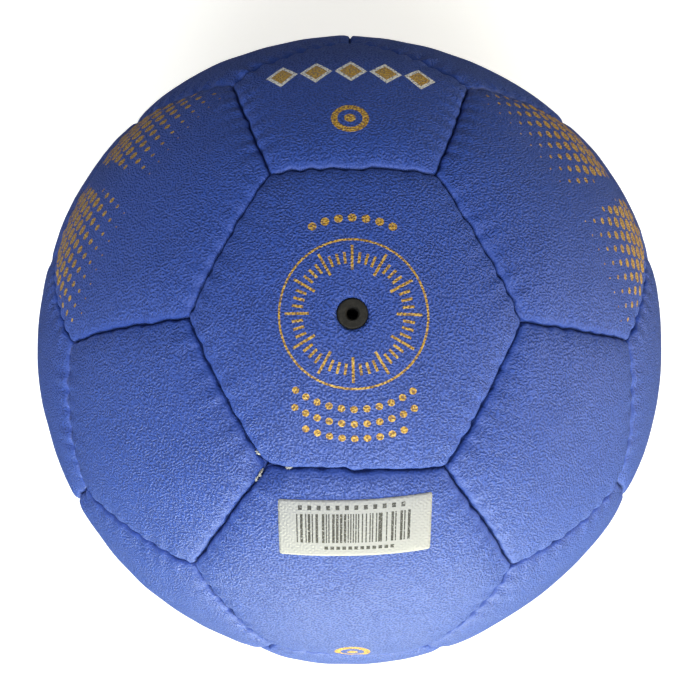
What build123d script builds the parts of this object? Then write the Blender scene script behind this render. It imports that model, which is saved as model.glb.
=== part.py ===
from build123d import *
import os
from math import atan2, cos, degrees, pi, radians, sin, sqrt

# Hand-stitched handball, senior size. Millimetres.
# Origin: centre of the ball. +Z: out through the valve. +Y: towards a pentagon panel.

# ---- driving dimensions -------------------------------------------------------------
BALL_RADIUS = 94.0  # crown of the panels, 590 mm round

# outer panels: coated synthetic leather, edges turned in and sewn back to back
SKIN_T = 1.5
SEAM_GAP = 0.06  # each turned edge stands this far off the seam plane
FLANGE_END_R = 89.2  # inner end of the turned edge, measured from the centre
EDGE_FILLET = 1.5  # rolled edge along a seam
CORNER_FILLET = 2.0  # rolled corner where three panels meet

# saddle stitching through the turned edges: two threads share each hole
STITCH_R = 90.8  # depth of the stitch line, measured from the centre
STITCHES = 8  # holes along one seam
STITCH_PITCH = 4.5
STITCH_HOLE_R = 0.62
THREAD_R = 0.26
THREAD_SPREAD = 0.29  # each thread runs this far above or below the stitch line
THREAD_STANDOFF = 0.1

# layers glued behind each panel
GLUE = 0.12
FOAM_T = 2.0
CLOTH_T = 0.9
BACKING_INSET = 2.5  # side faces of foam and cloth, measured from the seam plane

# bladder and what is bonded to it
BLADDER_R = 88.6
BLADDER_T = 0.9
BOND = 0.2
VALVE_PATCH_T = 0.4
VALVE_PATCH_R = 15.0
BALANCE_PATCH_T = 1.0
BALANCE_PATCH_R = 13.0

# valve
VALVE_HOLE_R = 3.4  # hole in the panel, round the head of the valve core
BARREL_R = 4.4
BARREL_TIP_R = 3.9
BARREL_TOP_Z = 92.2
BARREL_BOTTOM_Z = 74.0
BARREL_CLEAR_R = 4.75  # hole for the barrel in foam, cloth and bladder
BARREL_BORE_R = 2.55
FLANGE_R = 13.0
FLANGE_T = 0.9
HEAD_R = 3.22
HEAD_TOP_Z = 93.7
HEAD_BOTTOM_Z = 92.25
RIB_R = 2.5
SHANK_R = 2.3
SHANK_TIP_Z = 75.5
RIBS_Z = (90.4, 86.2, 82.0, 77.8)
RIB_L = 1.4
NEEDLE_R = 1.2  # hole for an inflation needle
NEEDLE_END_Z = 81.5
NEEDLE_LEAD_IN = 0.35
SLIT_W = 0.2
SLIT_L = 2.4

# label
LABEL_W = 33.2
LABEL_H = 15.3
LABEL_T = 0.15
LABEL_GLUE = 0.06
LABEL_DIR = (0.0056, -0.4871, 0.8733)
LABEL_TURN = 1.8

# ---- panel layout: truncated icosahedron ---------------------------------------------
PHI = (1 + sqrt(5)) / 2


def unit(v):
    length = sqrt(sum(c * c for c in v))
    return tuple(c / length for c in v)


def dot(a, b):
    return sum(p * q for p, q in zip(a, b))


def cross(a, b):
    return (
        a[1] * b[2] - a[2] * b[1],
        a[2] * b[0] - a[0] * b[2],
        a[0] * b[1] - a[1] * b[0],
    )


def even_turns(x, y, z):
    return [(x, y, z), (y, z, x), (z, x, y)]


def signs(point):
    out = set()
    for i in (1, -1):
        for j in (1, -1):
            for k in (1, -1):
                out.add((i * point[0], j * point[1], k * point[2]))
    return out


corners = set()
for base in ((0, 1, 3 * PHI), (1, 2 + PHI, 2 * PHI), (PHI, 2, PHI**3)):
    for turned in even_turns(*base):
        corners |= signs(turned)
corners = sorted(unit(c) for c in corners)

pent_dirs = set()
for turned in even_turns(0, 1, PHI):
    pent_dirs |= signs(turned)
pent_dirs = sorted(unit(c) for c in pent_dirs)

hex_dirs = signs((1, 1, 1))
for turned in even_turns(0, PHI, 1 / PHI):
    hex_dirs |= signs(turned)
hex_dirs = sorted(unit(c) for c in hex_dirs)

# Turn the layout so that a hexagon faces +Z and the nearest pentagon leans towards +Y.
axis_z = hex_dirs[-1]
lean = max(pent_dirs, key=lambda p: dot(p, axis_z))
axis_y = unit(tuple(p - dot(lean, axis_z) * z for p, z in zip(lean, axis_z)))
axis_x = cross(axis_y, axis_z)


def turn(v):
    return (dot(v, axis_x), dot(v, axis_y), dot(v, axis_z))


def from_top(v):
    return (-round(v[2], 6), round(atan2(v[1], v[0]) % (2 * pi), 6))


corners = sorted((turn(c) for c in corners), key=from_top)
pent_dirs = sorted((turn(c) for c in pent_dirs), key=from_top)
hex_dirs = sorted((turn(c) for c in hex_dirs), key=from_top)


def corners_of(centre, count):
    ring = sorted(corners, key=lambda c: -dot(c, centre))[:count]
    return sorted(ring, key=from_top)


def panel_plane(centre, count):
    first = corners_of(centre, count)[0]
    along = unit(tuple(f - dot(first, centre) * c for f, c in zip(first, centre)))
    return Plane(origin=(0, 0, 0), x_dir=along, z_dir=centre)


hex_planes = [panel_plane(c, 6) for c in hex_dirs]
pent_planes = [panel_plane(c, 5) for c in pent_dirs]

edge_len = min(
    sqrt(sum((a - b) ** 2 for a, b in zip(corners[0], c))) for c in corners[1:]
)
pent_sets = [set(corners_of(c, 5)) for c in pent_dirs]
hex_hex_planes = []
hex_pent_planes = []
for i, a in enumerate(corners):
    for b in corners[i + 1 :]:
        if sqrt(sum((p - q) ** 2 for p, q in zip(a, b))) > 1.01 * edge_len:
            continue
        middle = unit(tuple(p + q for p, q in zip(a, b)))
        seam = Plane(origin=(0, 0, 0), x_dir=middle, z_dir=unit(cross(a, b)))
        if any(a in s and b in s for s in pent_sets):
            hex_pent_planes.append(seam)
        else:
            hex_hex_planes.append(seam)

# Half angle between a panel's axis and the middle of its side, for each panel kind.
HEX_CIRCUM = edge_len
HEX_HEIGHT = sqrt(1 - HEX_CIRCUM**2)
HEX_LEAN = atan2(HEX_CIRCUM * cos(pi / 6), HEX_HEIGHT)
PENT_CIRCUM = edge_len / (2 * sin(pi / 5))
PENT_HEIGHT = sqrt(1 - PENT_CIRCUM**2)
PENT_LEAN = atan2(PENT_CIRCUM * cos(pi / 5), PENT_HEIGHT)

stitch_turn = degrees(STITCH_PITCH * (STITCHES - 1) / 2 / STITCH_R)


def side_planes(count, lean_angle):
    planes = []
    for k in range(count):
        around = 2 * pi * (k + 0.5) / count
        planes.append(
            Plane(
                origin=(0, 0, 0),
                x_dir=(
                    sin(lean_angle) * cos(around),
                    sin(lean_angle) * sin(around),
                    cos(lean_angle),
                ),
                z_dir=(
                    -cos(lean_angle) * cos(around),
                    -cos(lean_angle) * sin(around),
                    sin(lean_angle),
                ),
            )
        )
    return planes


HEX_SIDES = side_planes(6, HEX_LEAN)
PENT_SIDES = side_planes(5, PENT_LEAN)
SKIN_INNER_R = BALL_RADIUS - SKIN_T
FOAM_OUTER_R = SKIN_INNER_R - GLUE
FOAM_INNER_R = FOAM_OUTER_R - FOAM_T
CLOTH_OUTER_R = FOAM_INNER_R - GLUE
CLOTH_INNER_R = CLOTH_OUTER_R - CLOTH_T


def wedge(planes, inset, outer_r, inner_r, hole_r=0.0):
    """Piece of a spherical shell on +Z, cut to sides that stand inset off the seams."""
    with BuildPart() as made:
        Sphere(outer_r, rotation=(90, 0, 0))
        Sphere(inner_r, rotation=(90, 0, 0), mode=Mode.SUBTRACT)
        for plane in planes:
            split(bisect_by=plane.offset(inset), keep=Keep.TOP)
        if hole_r:
            with Locations((0, 0, outer_r)):
                Cylinder(hole_r, 24.0, mode=Mode.SUBTRACT)
    return made.part


# ---- hexagon panel, centred on +Z -------------------------------------------------------
with BuildPart() as hex_skin:
    add(wedge(HEX_SIDES, SEAM_GAP, BALL_RADIUS, FLANGE_END_R))
    # rolled corners, then the rolled edge round the crowned face
    fillet(hex_skin.edges().filter_by(GeomType.LINE), CORNER_FILLET)
    fillet(hex_skin.faces().sort_by(Axis.Z)[-1].edges(), EDGE_FILLET)
    # hollow: the skin and its turned-in edges stay
    add(
        wedge(HEX_SIDES, SEAM_GAP + SKIN_T, SKIN_INNER_R, FLANGE_END_R - 5.0),
        mode=Mode.SUBTRACT,
    )
    with Locations(*HEX_SIDES):
        with PolarLocations(
            STITCH_R, STITCHES, -stitch_turn, 2 * stitch_turn, endpoint=True
        ):
            Cylinder(STITCH_HOLE_R, 6.0, mode=Mode.SUBTRACT)

with BuildPart() as valve_skin:
    add(hex_skin.part)
    with Locations((0, 0, BALL_RADIUS)):
        Cylinder(VALVE_HOLE_R, 10.0, mode=Mode.SUBTRACT)

# ---- pentagon panel, centred on +Z --------------------------------------------------------
with BuildPart() as pent_skin:
    add(wedge(PENT_SIDES, SEAM_GAP, BALL_RADIUS, FLANGE_END_R))
    fillet(pent_skin.edges().filter_by(GeomType.LINE), CORNER_FILLET)
    fillet(pent_skin.faces().sort_by(Axis.Z)[-1].edges(), EDGE_FILLET)
    add(
        wedge(PENT_SIDES, SEAM_GAP + SKIN_T, SKIN_INNER_R, FLANGE_END_R - 5.0),
        mode=Mode.SUBTRACT,
    )
    with Locations(*PENT_SIDES):
        with PolarLocations(
            STITCH_R, STITCHES, -stitch_turn, 2 * stitch_turn, endpoint=True
        ):
            Cylinder(STITCH_HOLE_R, 6.0, mode=Mode.SUBTRACT)

# ---- foam backing and cloth lining, centred on +Z ---------------------------------------------
FOAM = (BACKING_INSET, FOAM_OUTER_R, FOAM_INNER_R)
CLOTH = (BACKING_INSET, CLOTH_OUTER_R, CLOTH_INNER_R)
hex_foam = wedge(HEX_SIDES, *FOAM)
hex_foam_valve = wedge(HEX_SIDES, *FOAM, BARREL_CLEAR_R)
pent_foam = wedge(PENT_SIDES, *FOAM)
hex_cloth = wedge(HEX_SIDES, *CLOTH)
hex_cloth_valve = wedge(HEX_SIDES, *CLOTH, BARREL_CLEAR_R)
pent_cloth = wedge(PENT_SIDES, *CLOTH)

# ---- seam threads, on a seam plane: X out through the middle of the seam -------------------------
RUN_OFFSET = SEAM_GAP + SKIN_T + THREAD_STANDOFF + THREAD_R


def thread_route(first_side, radius):
    """In and out of the holes in turn, so the runs change sides from stitch to stitch."""
    route = []
    side = first_side
    for j in range(STITCHES):
        along = radians(stitch_turn * (2 * j / (STITCHES - 1) - 1))
        for _ in range(2):
            route.append((radius * cos(along), radius * sin(along), side * RUN_OFFSET))
            side = -side
        side = -side
    return route


def thread_run(start, end, before, after):
    """One straight run, mitred against the run before it and the run after it."""
    a, b = Vector(*start), Vector(*end)
    ahead = (b - a).normalized()
    with BuildPart() as run:
        with BuildSketch(Plane(origin=a - ahead * 2 * THREAD_R, z_dir=ahead)):
            Circle(THREAD_R)
        extrude(amount=(b - a).length + 4 * THREAD_R)
        come = (a - Vector(*before)).normalized() if before else ahead
        leave = (Vector(*after) - b).normalized() if after else ahead
        split(bisect_by=Plane(origin=a, z_dir=come + ahead), keep=Keep.TOP)
        split(bisect_by=Plane(origin=b, z_dir=ahead + leave), keep=Keep.BOTTOM)
    return run.part


def sewn_thread(first_side, radius):
    route = thread_route(first_side, radius)
    padded = [None] + route + [None]
    with BuildPart() as made:
        for before, start, end, after in zip(padded, route, route[1:], padded[3:]):
            add(thread_run(start, end, before, after))
    return made.part


threads = [
    sewn_thread(1, STITCH_R + THREAD_SPREAD),
    sewn_thread(-1, STITCH_R - THREAD_SPREAD),
]
thread_lengths = [round(t.volume / (pi * THREAD_R**2), 1) for t in threads]
print("thread along one seam, mm:", thread_lengths)

# ---- bladder and the pieces bonded to it ----------------------------------------------------------
BLADDER_INNER_R = BLADDER_R - BLADDER_T
with BuildPart() as bladder:
    Sphere(BLADDER_R)
    Sphere(BLADDER_INNER_R, mode=Mode.SUBTRACT)
    with Locations((0, 0, BLADDER_R)):
        Cylinder(BARREL_CLEAR_R, 20.0, mode=Mode.SUBTRACT)

with BuildPart() as valve_patch:
    with BuildSketch(Plane.XY.offset(80.0)):
        Circle(VALVE_PATCH_R)
        Circle(BARREL_CLEAR_R, mode=Mode.SUBTRACT)
    extrude(amount=15.0)
    Sphere(BLADDER_R + 0.15 + VALVE_PATCH_T, mode=Mode.INTERSECT)
    Sphere(BLADDER_R + 0.15, mode=Mode.SUBTRACT)

with BuildPart() as balance_patch:
    with BuildSketch(Plane.XY.offset(-80.0)):
        Circle(BALANCE_PATCH_R)
    extrude(amount=-15.0)
    Sphere(BLADDER_INNER_R - BOND, mode=Mode.INTERSECT)
    Sphere(BLADDER_INNER_R - BOND - BALANCE_PATCH_T, mode=Mode.SUBTRACT)

# ---- valve housing: barrel and base flange in one moulding ----------------------------------------
with BuildPart() as valve_housing:
    with BuildSketch(Plane.XY.offset(80.0)):
        Circle(FLANGE_R)
    extrude(amount=15.0)
    Sphere(BLADDER_INNER_R - BOND, mode=Mode.INTERSECT)
    Sphere(BLADDER_INNER_R - BOND - FLANGE_T, mode=Mode.SUBTRACT)
    with BuildSketch(Plane.XZ):
        with BuildLine():
            Polyline(
                (0, BARREL_BOTTOM_Z),
                (BARREL_TIP_R - 0.6, BARREL_BOTTOM_Z),
                (BARREL_TIP_R, BARREL_BOTTOM_Z + 0.6),
                (BARREL_R, BARREL_BOTTOM_Z + 9.0),
                (BARREL_R, BARREL_TOP_Z - 0.4),
                (BARREL_R - 0.4, BARREL_TOP_Z),
                (0, BARREL_TOP_Z),
                close=True,
            )
        make_face()
    revolve(axis=Axis.Z)
    with Locations((0, 0, (BARREL_TOP_Z + BARREL_BOTTOM_Z) / 2)):
        Cylinder(
            BARREL_BORE_R, BARREL_TOP_Z - BARREL_BOTTOM_Z + 2.0, mode=Mode.SUBTRACT
        )

# ---- valve core: head, ribbed shank, needle hole and sealing slit -----------------------------------
core_profile = [(0, SHANK_TIP_Z), (SHANK_R - 0.9, SHANK_TIP_Z)]
core_profile.append((SHANK_R, SHANK_TIP_Z + 0.9))
for rib_z in sorted(RIBS_Z):
    core_profile += [
        (SHANK_R, rib_z - RIB_L / 2),
        (RIB_R, rib_z - RIB_L / 2 + 0.2),
        (RIB_R, rib_z + RIB_L / 2 - 0.2),
        (SHANK_R, rib_z + RIB_L / 2),
    ]
core_profile += [
    (SHANK_R, HEAD_BOTTOM_Z),
    (HEAD_R, HEAD_BOTTOM_Z),
    (HEAD_R, HEAD_TOP_Z),
    (0, HEAD_TOP_Z),
]
with BuildPart() as valve_core:
    with BuildSketch(Plane.XZ):
        with BuildLine():
            Polyline(*core_profile, close=True)
        make_face()
    revolve(axis=Axis.Z)
    fillet(valve_core.faces().sort_by(Axis.Z)[-1].edges(), 0.4)
    with Locations((0, 0, HEAD_TOP_Z)):
        Hole(NEEDLE_R, depth=HEAD_TOP_Z - NEEDLE_END_Z)
    mouth = valve_core.edges().filter_by(GeomType.CIRCLE).group_by(Axis.Z)[-1]
    chamfer(mouth.sort_by(SortBy.RADIUS)[0], NEEDLE_LEAD_IN)
    with Locations((0, 0, (NEEDLE_END_Z + SHANK_TIP_Z) / 2)):
        Box(
            SLIT_W, SLIT_L, NEEDLE_END_Z - SHANK_TIP_Z + 2.0, mode=Mode.SUBTRACT
        )

# ---- label ---------------------------------------------------------------------------------------------
label_dir = unit(LABEL_DIR)
label_x = unit(
    (
        cos(radians(LABEL_TURN)),
        sin(radians(LABEL_TURN)) * label_dir[2],
        -sin(radians(LABEL_TURN)) * label_dir[1],
    )
)
label_plane = Plane(origin=(0, 0, 0), x_dir=label_x, z_dir=label_dir)
with BuildPart() as label:
    with BuildSketch(label_plane.offset(BALL_RADIUS - 6.0)):
        RectangleRounded(LABEL_W, LABEL_H, 0.5)
    extrude(amount=12.0)
    Sphere(BALL_RADIUS + LABEL_GLUE + LABEL_T, mode=Mode.INTERSECT)
    Sphere(BALL_RADIUS + LABEL_GLUE, mode=Mode.SUBTRACT)

# ---- put every piece in its place and write it -----------------------------------------------------------
os.makedirs("parts", exist_ok=True)


def write(shape, name, pcurves=True):
    shape.label = name
    export_step(shape, "parts/" + name + ".step", write_pcurves=pcurves)
    print(name, len(shape.solids()), round(shape.volume, 1))


for i, plane in enumerate(hex_planes):
    with BuildPart(plane) as panel:
        add(valve_skin.part if i == 0 else hex_skin.part)
    write(panel.part, "valve_panel" if i == 0 else "hex_panel_%02d" % (i + 1))

for i, plane in enumerate(pent_planes):
    with BuildPart(plane) as panel:
        add(pent_skin.part)
    write(panel.part, "pent_panel_%02d" % (i + 1))


def group(kinds):
    """Separate solids of one kind, each in the place its plane gives."""
    return Compound(
        [
            solid.moved(plane.location)
            for made, plane in kinds
            for solid in made.solids()
        ]
    )


write(
    group([(hex_foam_valve if i == 0 else hex_foam, p) for i, p in enumerate(hex_planes)]),
    "hex_foam_backings",
)
write(group([(pent_foam, p) for p in pent_planes]), "pent_foam_backings")
write(
    group(
        [(hex_cloth_valve if i == 0 else hex_cloth, p) for i, p in enumerate(hex_planes)]
    ),
    "hex_cloth_linings",
)
write(group([(pent_cloth, p) for p in pent_planes]), "pent_cloth_linings")
write(
    group([(t, p) for p in hex_hex_planes for t in threads]),
    "hex_hex_seam_threads",
    pcurves=False,
)
write(
    group([(t, p) for p in hex_pent_planes for t in threads]),
    "hex_pent_seam_threads",
    pcurves=False,
)
write(bladder.part, "bladder")
write(valve_patch.part, "valve_patch")
write(balance_patch.part, "balance_patch")
write(valve_housing.part, "valve_housing")
write(valve_core.part, "valve_core")
write(label.part, "label")
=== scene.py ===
import math

import bpy
import numpy as np
from mathutils import Matrix, Vector


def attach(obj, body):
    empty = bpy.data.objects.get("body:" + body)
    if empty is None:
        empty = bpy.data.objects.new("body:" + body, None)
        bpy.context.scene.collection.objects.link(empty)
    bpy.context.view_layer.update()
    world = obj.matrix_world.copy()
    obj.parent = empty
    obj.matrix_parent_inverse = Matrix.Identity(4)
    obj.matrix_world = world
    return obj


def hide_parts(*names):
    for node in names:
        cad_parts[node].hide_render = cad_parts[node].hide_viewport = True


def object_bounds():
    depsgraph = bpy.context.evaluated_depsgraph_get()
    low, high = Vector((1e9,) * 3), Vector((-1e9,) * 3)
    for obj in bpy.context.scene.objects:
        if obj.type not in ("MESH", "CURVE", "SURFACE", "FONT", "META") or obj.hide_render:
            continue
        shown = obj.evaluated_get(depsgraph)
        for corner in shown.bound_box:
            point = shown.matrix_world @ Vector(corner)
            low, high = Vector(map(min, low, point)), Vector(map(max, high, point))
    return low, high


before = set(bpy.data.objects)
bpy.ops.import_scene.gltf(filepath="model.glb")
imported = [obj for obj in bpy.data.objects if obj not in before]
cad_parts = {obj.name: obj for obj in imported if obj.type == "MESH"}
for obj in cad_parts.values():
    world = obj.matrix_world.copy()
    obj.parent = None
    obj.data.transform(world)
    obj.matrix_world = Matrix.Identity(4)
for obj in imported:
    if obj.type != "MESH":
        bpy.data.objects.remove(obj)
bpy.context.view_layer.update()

# Hand-stitched handball. Lengths below are millimetres until a mesh is written, in metres.
R = 94.0
PHI = (1 + math.sqrt(5)) / 2
RINGS = 72  # rings of vertices from the middle of a panel to its rim
INNER_RINGS = 18  # rings on the hidden inner side
HOLE_RING = 8  # first ring of the panel with the valve hole
HOLE_R = 3.4
GAP = 0.1  # half the width of a seam at the foot of its rolled edges
TOUCH = 0.015  # half the width left deep in the seam, where the turned edges meet
ROLL = 0.78  # radius of the turned edge
ROLL_STEPS = 9
PILLOW = 1.45  # how far a panel sinks towards its seams
PILLOW_L = 3.8
BULGE = 0.3  # how far the middle of a panel stands out
CORNER = 2.0
STITCHES = 8
STITCH_PITCH = 4.5 * R / 90.8
FLANGE_R = 89.4
SKIN_R = 92.45


# ---- panel layout, the same as in the frame ---------------------------------------------
def unit(v):
    v = np.asarray(v, float)
    return v / np.linalg.norm(v)


def even_turns(x, y, z):
    return [(x, y, z), (y, z, x), (z, x, y)]


def signs(p):
    return {
        (i * p[0], j * p[1], k * p[2]) for i in (1, -1) for j in (1, -1) for k in (1, -1)
    }


def spread(bases):
    out = set()
    for base in bases:
        out |= signs(base)
    return [unit(p) for p in out]


corners = []
for base in ((0, 1, 3 * PHI), (1, 2 + PHI, 2 * PHI), (PHI, 2, PHI**3)):
    corners += spread(even_turns(*base))
pents = spread(even_turns(0, 1, PHI))
hexes = spread([(1, 1, 1)]) + spread(even_turns(0, PHI, 1 / PHI))
axis_z = max(hexes, key=lambda p: (round(p[0], 6), round(p[1], 6), round(p[2], 6)))
lean = max(sorted(pents, key=tuple), key=lambda p: round(float(p @ axis_z), 6))
axis_y = unit(lean - (lean @ axis_z) * axis_z)
axis_x = np.cross(axis_y, axis_z)
turn = np.array([axis_x, axis_y, axis_z])


def from_top(v):
    return (-round(v[2], 6), round(math.atan2(v[1], v[0]) % (2 * math.pi), 6))


corners = np.array(sorted((turn @ c for c in corners), key=from_top))
pents = np.array(sorted((turn @ c for c in pents), key=from_top))
hexes = np.array(sorted((turn @ c for c in hexes), key=from_top))


def ring_of(centre, count):
    """Corner numbers round a panel, counter-clockwise seen from outside."""
    near = np.argsort(-(corners @ centre), kind="stable")[:count]
    u = unit(corners[near[0]] - (corners[near[0]] @ centre) * centre)
    v = np.cross(centre, u)
    angle = [math.atan2(corners[k] @ v, corners[k] @ u) % (2 * math.pi) for k in near]
    return [int(k) for _, k in sorted(zip([round(a, 6) for a in angle], near))]


# ---- hand sewing: seam corners lie a little off the regular layout ---------------------------
# direction of a corner, and its move in millimetres
SEWN_OFF = (
    ((0.202, 0.349, 0.915), (-0.14, -0.53, 0.23)),
    ((-0.202, 0.349, 0.915), (0.63, -0.28, 0.25)),
    ((-0.202, -0.349, 0.915), (0.20, 0.72, 0.32)),
    ((0.202, -0.349, 0.915), (1.25, 0.17, -0.21)),
    ((0.404, 0.000, 0.915), (-0.18, -0.88, 0.08)),
    ((-0.404, 0.000, 0.915), (2.05, 0.23, 0.90)),
    ((0.326, 0.654, 0.682), (-0.92, -0.76, 1.18)),
    ((-0.326, 0.654, 0.682), (1.08, -0.12, 0.64)),
    ((0.404, -0.610, 0.682), (1.09, -0.80, -1.36)),
    ((-0.404, -0.610, 0.682), (-0.31, -0.03, -0.21)),
    ((0.730, -0.044, 0.682), (0.35, 0.91, -0.31)),
    ((-0.730, -0.044, 0.682), (-0.57, 0.92, -0.55)),
    ((0.730, -0.421, 0.538), (1.16, 0.64, -1.07)),
    ((-0.730, -0.421, 0.538), (-0.61, -0.57, -1.28)),
    ((0.202, -0.870, 0.449), (0.25, -1.05, -2.14)),
    ((-0.202, -0.870, 0.449), (-1.17, -0.74, -1.96)),
    ((0.855, 0.260, 0.449), (0.55, -0.27, -0.88)),
    ((-0.855, 0.260, 0.449), (-0.40, -0.75, -0.32)),
    ((-0.653, 0.610, 0.449), (1.30, 1.53, -0.19)),
    ((0.653, 0.610, 0.449), (-1.01, 1.31, -0.31)),
)
# the middle of the valve panel stays where it is
STILL = [(0.065 * math.cos(a), 0.065 * math.sin(a), 0.998) for a in np.radians([30, 150, 270])]
drift_at = np.array([unit(c) for c, _ in SEWN_OFF] + [unit(c) for c in STILL])
drift_by = np.array([m for _, m in SEWN_OFF] + [(0.0, 0.0, 0.0)] * len(STILL))
DRIFT_L = 0.27


def drift_weights(dirs):
    gap = ((np.asarray(dirs)[:, None] - drift_at[None]) ** 2).sum(2)
    return np.exp(-gap / (2 * DRIFT_L**2))


drift_mix = np.linalg.solve(
    drift_weights(drift_at) + 0.02 * np.eye(len(drift_at)), drift_by
)


def drifted(dirs, way=1.0):
    """Directions on the regular layout moved to where the sewing puts them."""
    out = dirs + way * (drift_weights(dirs) @ drift_mix) / R
    return out / np.linalg.norm(out, axis=1, keepdims=True)


# ---- what the sewing does along each seam, the same for both panels ------------------------
def smooth_interp(x, xp, fp):
    i = np.clip(np.searchsorted(xp, x) - 1, 0, len(xp) - 2)
    t = np.clip((x - xp[i]) / (xp[i + 1] - xp[i]), 0, 1)
    t = 0.5 * t + 0.5 * t * t * (3 - 2 * t)
    return fp[i] * (1 - t) + fp[i + 1] * t


STITCH_S = (np.arange(STITCHES) - (STITCHES - 1) / 2) * STITCH_PITCH
BETWEEN_S = (STITCH_S[1:] + STITCH_S[:-1]) / 2
OPEN_CORNER = int(np.argmax(corners @ unit((-0.2, -0.3464, 0.917))))


class Seam:
    def __init__(self, a, b):
        rng = np.random.default_rng([41, a, b])
        self.a, self.b = a, b
        self.normal = unit(np.cross(corners[a], corners[b]))
        self.half = R * math.acos(float(corners[a] @ corners[b])) / 2
        knots = np.sort(np.r_[STITCH_S, BETWEEN_S])
        swing = rng.normal(0, rng.uniform(0.2, 0.33), len(knots))
        swing[0::2] *= 0.6
        self.knots = np.r_[-self.half, knots, self.half]
        self.swing = np.r_[0, np.clip(swing, -0.58, 0.58), 0]
        self.pull = 0.45 + 0.9 * rng.random(STITCHES)
        self.width = 0.62 + 0.3 * rng.random(STITCHES)
        self.swell = 0.5 + rng.random(STITCHES - 1)
        self.shift = rng.normal(0, 0.22, STITCHES)
        # seams away from the valve are drawn tighter
        low = np.clip((0.86 - unit(corners[a] + corners[b])[2]) / 0.22, 0, 1)
        self.pucker = 0.85 + low * rng.uniform(0.2, 0.95)
        # one seam lies almost flush
        self.flush = float(unit(corners[a] + corners[b]) @ unit((0.0, 0.934, 0.357)) > 0.995)
        self.gather = (0.2 + low) * rng.uniform(0, 1, (2, STITCHES - 1)) ** 2
        self.slant = rng.uniform(-0.35, 0.35, STITCHES - 1)
        self.steps = np.linspace(-self.half, self.half, 36)
        self.lump = np.clip(rng.normal(0, 0.6, (2, 36)), -1, 1)
        self.lump[:, ::35] = 0
        # the seam stands open near the worn corner
        self.open = np.zeros(2)
        if OPEN_CORNER == a:
            self.open[0] = 1
        if OPEN_CORNER == b:
            self.open[1] = 1

    def wander(self, s):
        return smooth_interp(s, self.knots, self.swing)

    def stitch(self, s):
        out = np.zeros_like(s)
        for at, move, pull, width in zip(STITCH_S, self.shift, self.pull, self.width):
            out += pull * np.exp(-(((s - at - move) / width) ** 2))
        return out

    def between(self, s):
        out = np.zeros_like(s)
        for at, swell in zip(BETWEEN_S, self.swell):
            out += swell * np.exp(-(((s - at) / 1.45) ** 2))
        return out

    def lumps(self, s, d, side):
        """Small lumps where the foam is squeezed along a sewn edge."""
        return smooth_interp(s, self.steps, self.lump[side]) * np.exp(-d / 1.5)

    def gathers(self, s, d, side):
        """Folds that run from the seam into a panel, between the stitches."""
        out = np.zeros_like(s)
        for at, size, slant in zip(BETWEEN_S, self.gather[side], self.slant):
            out += size * np.exp(-(((s - at - slant * d) / 0.95) ** 2))
        return out * (d / 2.8) * np.exp(1 - d / 2.8)

    def opening(self, s):
        """0 to 1, close to the worn corner."""
        out = np.zeros_like(s)
        for end, weight in zip((-self.half, self.half), self.open):
            if weight:
                out += np.exp(-(((s - end) / 4.2) ** 2))
        return out


seams = {}


def seam_of(a, b):
    key = (min(a, b), max(a, b))
    if key not in seams:
        seams[key] = Seam(*key)
    return seams[key]


# ---- slow waves of the whole cover ------------------------------------------------------------
wave_rng = np.random.default_rng(7)
WAVES = []
for length, height, count in ((75.0, 0.11, 5), (27.0, 0.045, 9), (11.0, 0.014, 14)):
    for _ in range(count):
        WAVES.append(
            (
                unit(wave_rng.normal(size=3)) * 2 * math.pi * R / length,
                wave_rng.uniform(0, 2 * math.pi),
                height,
            )
        )


def waves(dirs):
    out = np.zeros(len(dirs))
    for k, phase, height in WAVES:
        out += height * np.sin(dirs @ k + phase)
    return out


# ---- the cover is a little out of round: millimetres every 15 degrees about the valve's axis ---
ROUND_OFF = np.array(
    [-0.5, -0.15, 0.3, 0.25, -0.8, -1.0, -0.55, -0.55, -0.6, -0.1, -0.3, -1.0]
    + [-1.15, -0.75, -0.65, -0.9, -0.8, -0.1, 0.15, 0.45, -0.9, -1.25, -0.85, -0.5]
)


def out_of_round(dirs):
    turn = np.degrees(np.arctan2(dirs[:, 1], dirs[:, 0]))
    gap = (turn[:, None] - 15.0 * np.arange(24)[None] + 180) % 360 - 180
    weight = np.exp(-((gap / 9.5) ** 2))
    by = (weight @ ROUND_OFF) / weight.sum(1)
    return by * np.exp(-(((dirs[:, 2] - 0.33) / 0.28) ** 2))


def sunk(dirs):
    """How far the cover lies below its regular height, 0 or less."""
    return np.minimum(out_of_round(dirs) + waves(dirs), 0.0)


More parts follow.
